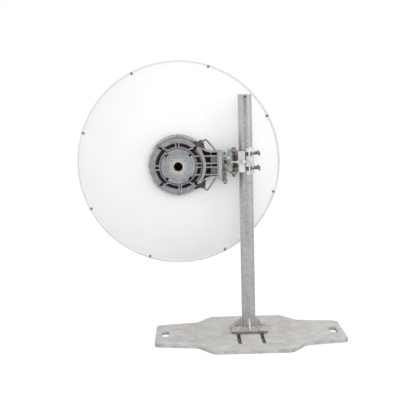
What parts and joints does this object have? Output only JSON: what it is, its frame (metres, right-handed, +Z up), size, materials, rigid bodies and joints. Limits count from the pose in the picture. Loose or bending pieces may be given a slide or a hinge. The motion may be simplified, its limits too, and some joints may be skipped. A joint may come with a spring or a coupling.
{
  "type": "microwave dish antenna",
  "caption": "Round microwave link antenna with radome and hub, on an offset adjustable pole mount, short pole and slotted floor plate",
  "frame": {"origin": "on the pole's axis, at the underside of the floor plate", "axes": "+Z up along the pole, +Y along the antenna's beam, +X from the antenna's arm toward the pole"},
  "size_m": [1.168, 0.612, 1.218],
  "materials": {
    "floor_plate": "hot-dip galvanised plate, mottled and dull",
    "galvanised_steel": "hot-dip galvanised, soft spangle",
    "bright_steel": "bright zinc plating",
    "bolt_steel": "dull brownish zinc-flake coating",
    "yellow_zinc_steel": "yellow passivated zinc, shaded brown",
    "blue_zinc_steel": "blue passivated zinc",
    "chromated_aluminium": "chromated, faint green and violet tint",
    "cast_aluminium": "die-cast, fine turned marks on the flange",
    "port_plate": "chromated, pale blue-green tint",
    "port_seal": "salmon silicone rubber",
    "white_paint": "smooth white powder coat",
    "white_radome": "matt white moulded plastic"
  },
  "bodies": {
    "stand": {"base_plate": "floor_plate", "flange_packing_plate": "galvanised_steel", "pole_flange": "galvanised_steel", "pole_gusset_left": "galvanised_steel", "pole_gusset_right": "galvanised_steel", "pole_gusset_front": "galvanised_steel", "pole_gusset_back": "galvanised_steel", "flange_bolt_1": "galvanised_steel", "flange_bolt_2": "galvanised_steel", "flange_bolt_3": "galvanised_steel", "flange_bolt_4": "galvanised_steel", "pole_tube": "galvanised_steel", "pole_cap": "galvanised_steel"},
    "clamp": {"clamp_left_jaw": "bright_steel", "clamp_right_jaw": "bright_steel", "clamp_bolt_lower_front": "bolt_steel", "clamp_bolt_lower_rear": "bolt_steel", "clamp_bolt_upper_front": "bolt_steel", "clamp_bolt_upper_rear": "bolt_steel", "azimuth_channel": "yellow_zinc_steel", "azimuth_trunnion": "bright_steel"},
    "yoke": {"azimuth_yoke": "blue_zinc_steel", "azimuth_pivot_bolt": "bolt_steel", "elevation_pivot_bolt": "bolt_steel", "elevation_lock_bolt_lower": "bolt_steel", "elevation_lock_bolt_upper": "bolt_steel", "azimuth_rod_pin": "bright_steel", "elevation_adjuster_rod": "bolt_steel"},
    "azimuth_rod": {"azimuth_adjuster_rod": "bright_steel"},
    "antenna": {"arm_end_channel": "chromated_aluminium", "elevation_lug": "bolt_steel", "hub_casting": "cast_aluminium", "port_boss": "cast_aluminium", "arm_casting": "cast_aluminium", "upper_handle": "cast_aluminium", "lower_handle": "cast_aluminium", "port_plate_outer": "port_plate", "port_plate_inner": "port_plate", "port_ring": "bright_steel", "port_seal": "port_seal", "feed_tube": "bright_steel", "reflector": "white_paint", "radome": "white_radome", "rim_ring": "white_paint"}
  },
  "joints": [
    {"name": "clamp_swivel", "type": "hinge", "parent": "stand", "child": "clamp", "pos_m": [0, 0, 0.77], "axis": [0, 0, 1], "range_deg": [-180, 180]},
    {"name": "azimuth", "type": "hinge", "parent": "clamp", "child": "yoke", "pos_m": [-0.053, -0.02, 0.77], "axis": [0, 0, 1], "range_deg": [-10, 10]},
    {"name": "azimuth_rod_swivel", "type": "hinge", "parent": "yoke", "child": "azimuth_rod", "pos_m": [-0.0785, -0.07, 0.77], "axis": [0, 0, 1], "range_deg": [-6.5, 6.5]},
    {"name": "elevation", "type": "hinge", "parent": "yoke", "child": "antenna", "pos_m": [-0.106, -0.02, 0.768], "axis": [1, 0, 0], "range_deg": [-5, 5]}
  ],
  "couplings": [
    {"joint": "azimuth_rod_swivel", "follows": "azimuth", "ratio": -0.618}
  ]
}
